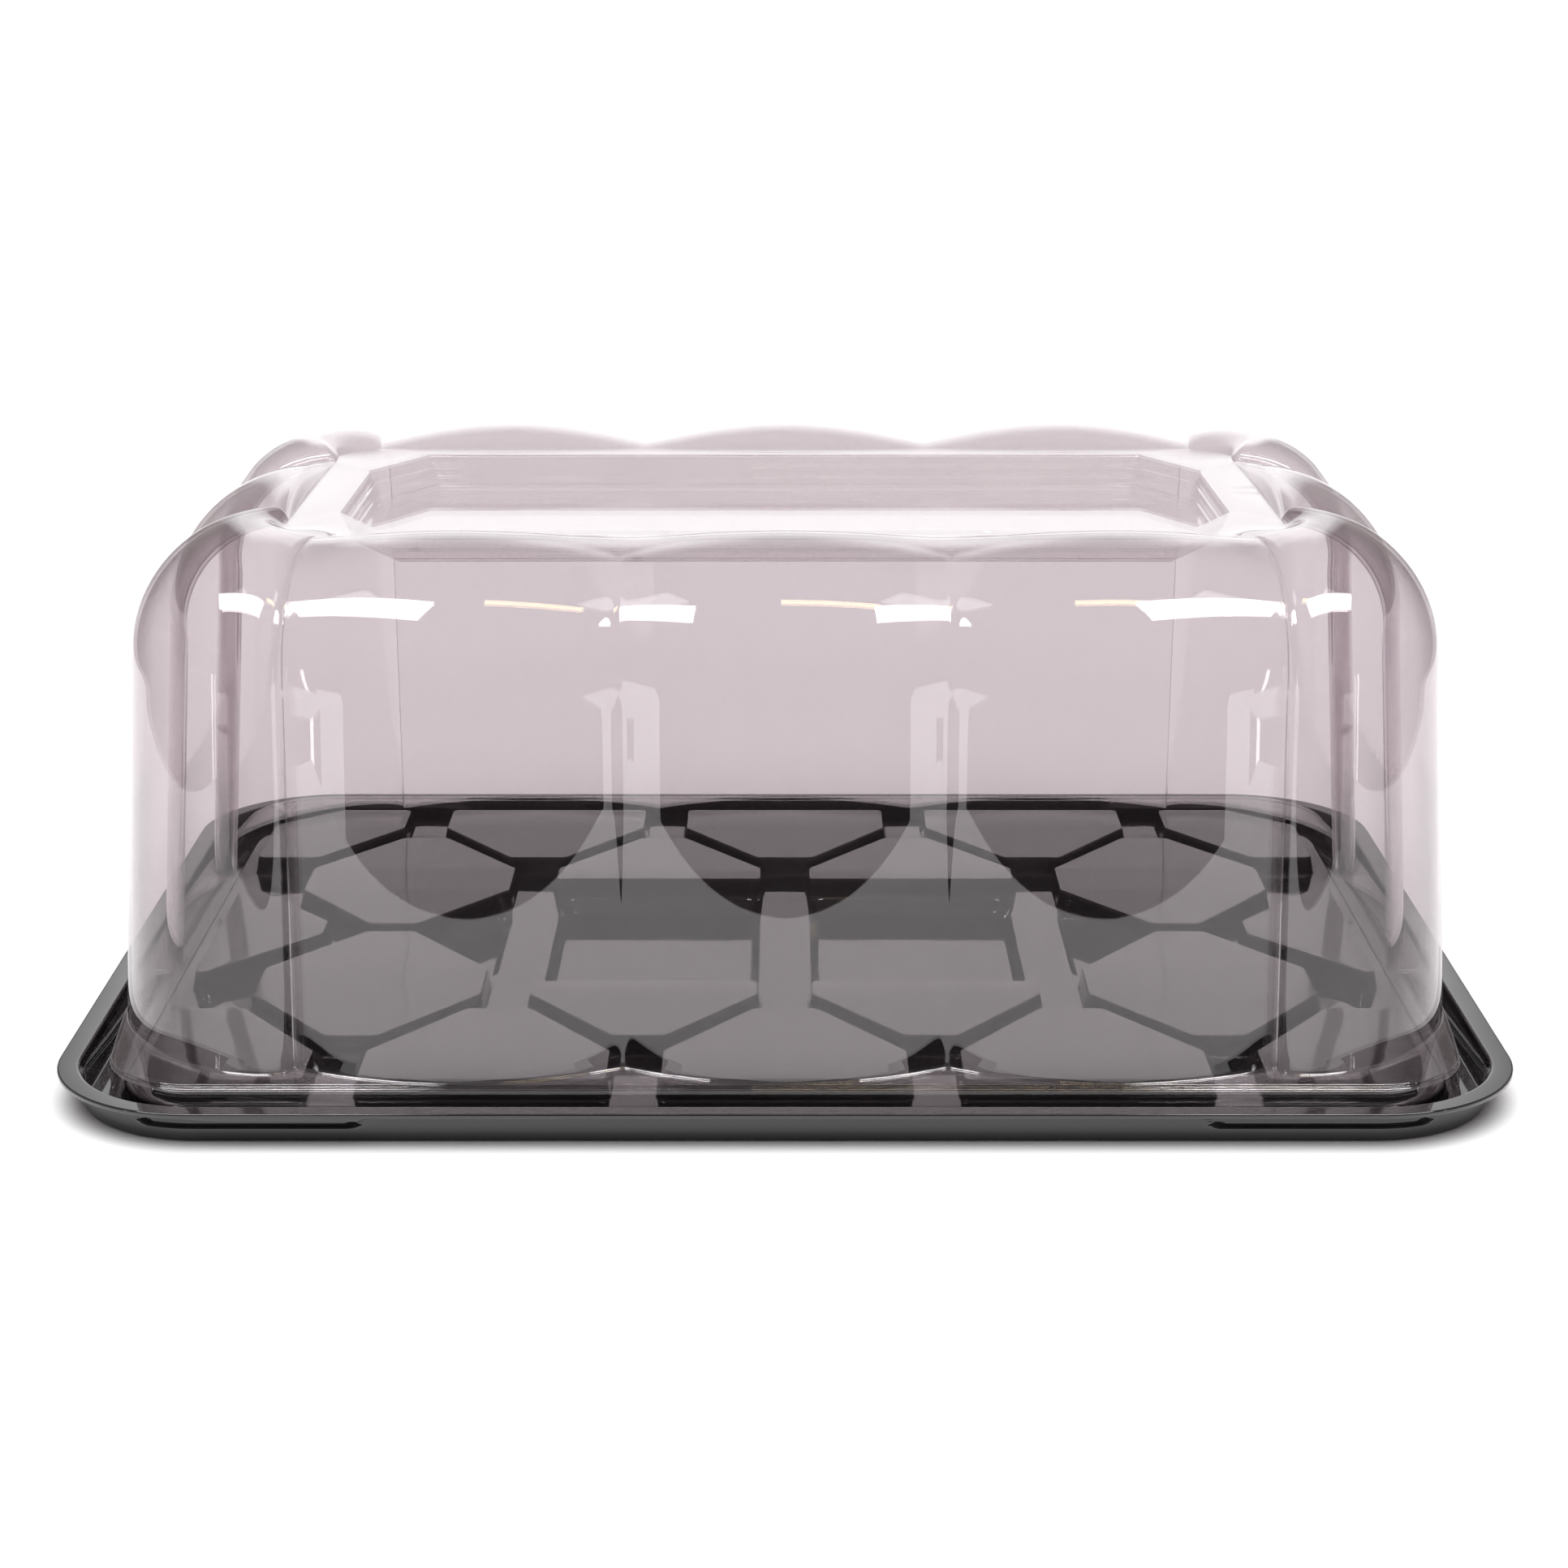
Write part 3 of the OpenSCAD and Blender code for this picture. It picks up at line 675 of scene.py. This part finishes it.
def build_camera():
    """The camera at the photograph's viewing angle."""
    cam = bpy.data.cameras.new("camera")
    cam.lens, cam.sensor_width = CAMERA_LENS, SENSOR
    cam.clip_start, cam.clip_end = 0.01, 100
    obj = bpy.data.objects.new("camera", cam)
    obj.location = CAMERA_AT
    obj.rotation_euler = (CAMERA_PITCH, 0, 0)
    bpy.context.scene.collection.objects.link(obj)
    bpy.context.scene.camera = obj


def toward(azimuth, elevation, distance):
    """A point that far from the dome's middle, at an azimuth in degrees to the right of the front."""
    a, e = math.radians(azimuth), math.radians(elevation)
    flat = distance * math.cos(e)
    return (flat * math.sin(a), -flat * math.cos(a), DOME_FRONT[2] + distance * math.sin(e))


def reflected_light(name, at, size, radiance, color=(1, 1, 1), turn=None):
    """A softbox of width and height size that shows only in glossy surfaces. It faces the dome, or
    straight down with a turn in degrees about Z."""
    light = bpy.data.lights.new(name, "AREA")
    light.shape = "RECTANGLE"
    light.size, light.size_y = size
    light.energy = radiance * math.pi * size[0] * size[1]
    light.color = color
    obj = bpy.data.objects.new(name, light)
    obj.location = at
    if turn is None:
        obj.rotation_euler = (Vector(DOME_FRONT) - Vector(at)).to_track_quat("-Z", "Y").to_euler()
    else:
        obj.rotation_euler = (0, 0, math.radians(turn))
    obj.visible_camera = obj.visible_diffuse = False
    bpy.context.scene.collection.objects.link(obj)


def build_lights():
    """What the dome's highlights mirror, and a sun for the fill, which the gloss doesn't show."""
    for side in (-1, 1):
        reflected_light("softbox_%d" % side, (0.26 * side, -0.175, 0.38), size=(0.25, 0.085),
                        radiance=16, turn=24 * side)
        reflected_light("strip_window_%d" % side, toward(56 * side, -9, 1.3), size=(0.03, 0.6),
                        radiance=5)
        reflected_light("low_window_%d" % side, toward(48 * side, -10, 1.3), size=(0.2, 0.14),
                        radiance=1.2)
        reflected_light("high_window_%d" % side, toward(72 * side, 58, 2.4), size=(0.5, 0.5),
                        radiance=1.8)
    reflected_light("warm_strip", (0.2, -0.37, 1.0), size=(0.44, 0.055), radiance=9,
                    color=(1, 0.78, 0.4), turn=0)
    sun = bpy.data.lights.new("sky_fill", "SUN")
    sun.energy, sun.angle = 3.7, math.radians(70)
    obj = bpy.data.objects.new("sky_fill", sun)
    obj.rotation_euler = (math.radians(12), 0, 0)
    obj.visible_glossy = False
    bpy.context.scene.collection.objects.link(obj)


def build_world():
    """A pale studio: white to the eye, with a darker room in front and to the sides for the plastic
    to reflect."""
    world = bpy.data.worlds.new("studio")
    bpy.context.scene.world = world
    world.use_nodes = True
    tree = world.node_tree
    tree.nodes.clear()
    way = add(tree, "ShaderNodeTexCoord").outputs["Generated"]
    part = add(tree, "ShaderNodeSeparateXYZ", {0: way})
    up, back = part.outputs["Z"], part.outputs["Y"]
    aside = add(tree, "ShaderNodeMath", {0: part.outputs["X"]}, operation="ABSOLUTE").outputs[0]
    height = remap(tree, up, -0.5, 1.0, 0, 1)
    behind = add(tree, "ShaderNodeValToRGB", {0: height})
    ramp(behind, [(0.0, (1.1, 1.1, 1.1)), (0.6, (1.4, 1.4, 1.4)), (0.75, (0.5, 0.48, 0.49)),
                  (1.0, (0.3, 0.28, 0.29))])
    front = add(tree, "ShaderNodeValToRGB", {0: height})
    ramp(front, [(0.0, (0.06, 0.05, 0.05)), (0.45, (0.12, 0.10, 0.11)), (0.75, (0.25, 0.23, 0.24)),
                 (1.0, (0.3, 0.28, 0.29))])
    wings = remap(tree, aside, 0.2, 0.27, 0, 1)
    rear = mix_color(tree, wings, behind.outputs[0], ROOM_SIDE)
    turn = remap(tree, back, 0.0, 0.35, 0, 1)
    room = mix_color(tree, turn, front.outputs[0], rear)
    seen = add(tree, "ShaderNodeLightPath").outputs["Is Camera Ray"]
    color = mix_color(tree, seen, room, BACKDROP)
    shader = add(tree, "ShaderNodeBackground", {"Color": color, "Strength": 1.0})
    add(tree, "ShaderNodeOutputWorld", {"Surface": shader.outputs[0]})


def ramp(node, stops):
    """Gives a colour ramp its stops, each a place and a colour."""
    elements = node.color_ramp.elements
    while len(elements) < len(stops):
        elements.new(0.5)
    for element, (at, color) in zip(elements, stops):
        element.position = at
        element.color = (*color, 1)


def build_floor():
    """The table: its near and side edges show in the dome, so it isn't endless."""
    corners = [(-TABLE_HALF, TABLE_FRONT, 0), (TABLE_HALF, TABLE_FRONT, 0),
               (TABLE_HALF, TABLE_BACK, 0), (-TABLE_HALF, TABLE_BACK, 0)]
    floor = bpy.data.meshes.new("floor")
    floor.from_pydata(corners, [], [(0, 1, 2, 3)])
    obj = bpy.data.objects.new("floor", floor)
    floor.materials.append(floor_material())
    bpy.context.scene.collection.objects.link(obj)


def build_render_look():
    """A plain view transform, and enough bounces for light to cross all the dome's layers."""
    scene = bpy.context.scene
    scene.view_settings.view_transform = "Standard"
    scene.cycles.max_bounces = 16
    scene.cycles.glossy_bounces = 8
    scene.cycles.transparent_max_bounces = 48
    scene.cycles.caustics_reflective = False
    scene.cycles.caustics_refractive = False


# ======================= put together =======================

tray = build_tray()
tray.data.materials.append(tray_material())
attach(tray, "tray")
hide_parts("base_tray")

dome = build_dome()
dome.data.materials.append(dome_material())
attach(dome, "lid")
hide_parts("dome_lid")

build_floor()
build_world()
build_lights()
build_camera()
build_render_look()
